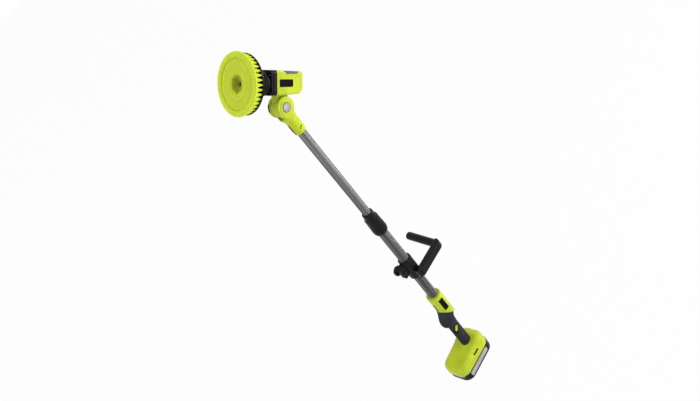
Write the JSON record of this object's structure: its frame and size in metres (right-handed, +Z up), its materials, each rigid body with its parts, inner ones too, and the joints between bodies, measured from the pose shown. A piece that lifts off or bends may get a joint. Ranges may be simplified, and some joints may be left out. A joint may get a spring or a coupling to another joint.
{
  "type": "cordless telescopic scrubber",
  "caption": "Battery scrubber: round bristle brush on a tilting motor head, telescopic pole with twist collar, clamped auxiliary handle, grip with slide switch, and a foot that takes the battery.",
  "frame": {"origin": "on the pole's axis at the flat underside of the battery, on which the tool stands", "axes": "+Z up along the pole towards the brush head, -Y the front that the brush leans and faces to, +X the side of the pivot button and the slide switch"},
  "size_m": [0.1722, 0.2431, 1.3302],
  "materials": {
    "lime_plastic": "satin moulded lime plastic",
    "black_plastic": "fine textured black plastic",
    "grip_rubber": "soft dark overmould",
    "grey_plastic": "smooth grey plastic",
    "pole_metal": "drawn grey anodised tube",
    "silver": "satin silver cap",
    "badge": "bare black plate",
    "bristle": "packed nylon bristles",
    "steel": "zinc plated or ground steel",
    "black_steel": "black oxide steel",
    "copper": "bronze and copper",
    "cell_wrap": "shrink wrapped cells",
    "gear_plastic": "natural nylon"
  },
  "bodies": {
    "lower_pole": {"lower_tube": "pole_metal", "collet_fitting": "black_plastic", "clamp_collet": "gear_plastic", "sleeve_left": "lime_plastic", "sleeve_right": "lime_plastic", "sleeve_badge": "badge", "sleeve_screws": "steel", "grip_left": "grip_rubber", "grip_right": "grip_rubber", "grip_screws": "steel", "switch_module": "black_plastic", "foot_left": "lime_plastic", "foot_right": "lime_plastic", "foot_screws": "steel", "terminal_block": "black_plastic"},
    "twist_collar": {"twist_collar": "black_plastic"},
    "upper_pole": {"upper_tube": "pole_metal", "glide_bush": "gear_plastic", "neck_left": "lime_plastic", "neck_right": "lime_plastic", "neck_screws": "steel", "hinge_pin": "steel"},
    "pivot_button": {"pivot_button": "silver", "lock_gear": "steel"},
    "head": {"housing_left": "lime_plastic", "housing_right": "lime_plastic", "head_badge": "badge", "top_vent": "grey_plastic", "head_screws": "steel", "gear_case": "black_plastic", "ring_gear": "gear_plastic", "motor_can": "steel", "motor_bushes": "copper", "motor_magnets": "black_plastic", "motor_plate": "steel", "output_bearing": "steel", "shaft_seal": "black_plastic"},
    "rotor": {"motor_armature": "copper", "sun_gear": "steel"},
    "planet_1": {"planet_gear_1": "steel"},
    "planet_2": {"planet_gear_2": "steel"},
    "planet_3": {"planet_gear_3": "steel"},
    "brush": {"planet_carrier": "steel", "brush_plate": "black_plastic", "bristles_inner": "bristle", "bristles_outer": "bristle", "brush_screw": "steel"},
    "aux_clamp": {"clamp_liner": "grip_rubber"},
    "aux_handle": {"aux_handle": "black_plastic", "clamp_cap": "black_plastic", "clamp_bolt": "black_steel"},
    "clamp_knob": {"clamp_knob": "black_plastic"},
    "power_switch": {"power_switch": "lime_plastic"},
    "battery": {"battery_tray": "black_plastic", "battery_case": "black_plastic", "battery_cells": "cell_wrap", "battery_contacts": "copper", "battery_panels": "grey_plastic"},
    "latch_left": {"latch_left": "grey_plastic"},
    "latch_right": {"latch_right": "grey_plastic"}
  },
  "joints": [
    {"name": "telescope", "type": "slide", "parent": "lower_pole", "child": "upper_pole", "axis": [0, 0, 1], "range_m": [-0.3, 0]},
    {"name": "collar_twist", "type": "hinge", "parent": "lower_pole", "child": "twist_collar", "pos_m": [0, 0, 0.684], "axis": [0, 0, 1], "range_deg": [0, 120]},
    {"name": "head_tilt", "type": "hinge", "parent": "upper_pole", "child": "head", "pos_m": [0, 0, 1.145], "axis": [1, 0, 0], "range_deg": [-45, 45]},
    {"name": "pivot_button_press", "type": "slide", "parent": "upper_pole", "child": "pivot_button", "axis": [1, 0, 0], "range_m": [-0.0035, 0], "stiffness_N_per_m": 800, "springref_m": 0.003},
    {"name": "brush_spin", "type": "hinge", "parent": "head", "child": "brush", "pos_m": [0, -0.03118, 1.25524], "axis": [0, -0.7071, 0.7071], "continuous": true},
    {"name": "rotor_spin", "type": "hinge", "parent": "head", "child": "rotor", "pos_m": [0, 0.03953, 1.18453], "axis": [0, -0.7071, 0.7071], "continuous": true},
    {"name": "planet_1_spin", "type": "hinge", "parent": "brush", "child": "planet_1", "pos_m": [0.012, 0.01796, 1.20609], "axis": [0, -0.7071, 0.7071], "continuous": true},
    {"name": "planet_2_spin", "type": "hinge", "parent": "brush", "child": "planet_2", "pos_m": [-0.006, 0.02531, 1.21344], "axis": [0, -0.7071, 0.7071], "continuous": true},
    {"name": "planet_3_spin", "type": "hinge", "parent": "brush", "child": "planet_3", "pos_m": [-0.006, 0.01061, 1.19875], "axis": [0, -0.7071, 0.7071], "continuous": true},
    {"name": "aux_slide", "type": "slide", "parent": "lower_pole", "child": "aux_clamp", "axis": [0, 0, 1], "range_m": [-0.09, 0.09]},
    {"name": "aux_swivel", "type": "hinge", "parent": "aux_clamp", "child": "aux_handle", "pos_m": [0, 0, 0.4715], "axis": [0, 0, 1], "range_deg": [-90, 90]},
    {"name": "knob_turn", "type": "hinge", "parent": "aux_handle", "child": "clamp_knob", "pos_m": [-0.017, -0.0305, 0.483], "axis": [1, 0, 0], "range_deg": [-540, 0]},
    {"name": "switch_slide", "type": "slide", "parent": "lower_pole", "child": "power_switch", "axis": [-0.2161, -0.4063, -0.8878], "range_m": [0, 0.006]},
    {"name": "battery_slide", "type": "slide", "parent": "lower_pole", "child": "battery", "axis": [0, 0, 1], "range_m": [-0.03, 0]},
    {"name": "latch_left_press", "type": "slide", "parent": "battery", "child": "latch_left", "axis": [1, 0, 0], "range_m": [0, 0.002], "stiffness_N_per_m": 1500, "springref_m": -0.002},
    {"name": "latch_right_press", "type": "slide", "parent": "battery", "child": "latch_right", "axis": [-1, 0, 0], "range_m": [0, 0.002], "stiffness_N_per_m": 1500, "springref_m": -0.002}
  ],
  "couplings": [
    {"joint": "rotor_spin", "follows": "brush_spin", "ratio": 5},
    {"joint": "planet_1_spin", "follows": "brush_spin", "ratio": -2.6667},
    {"joint": "planet_2_spin", "follows": "brush_spin", "ratio": -2.6667},
    {"joint": "planet_3_spin", "follows": "brush_spin", "ratio": -2.6667}
  ]
}
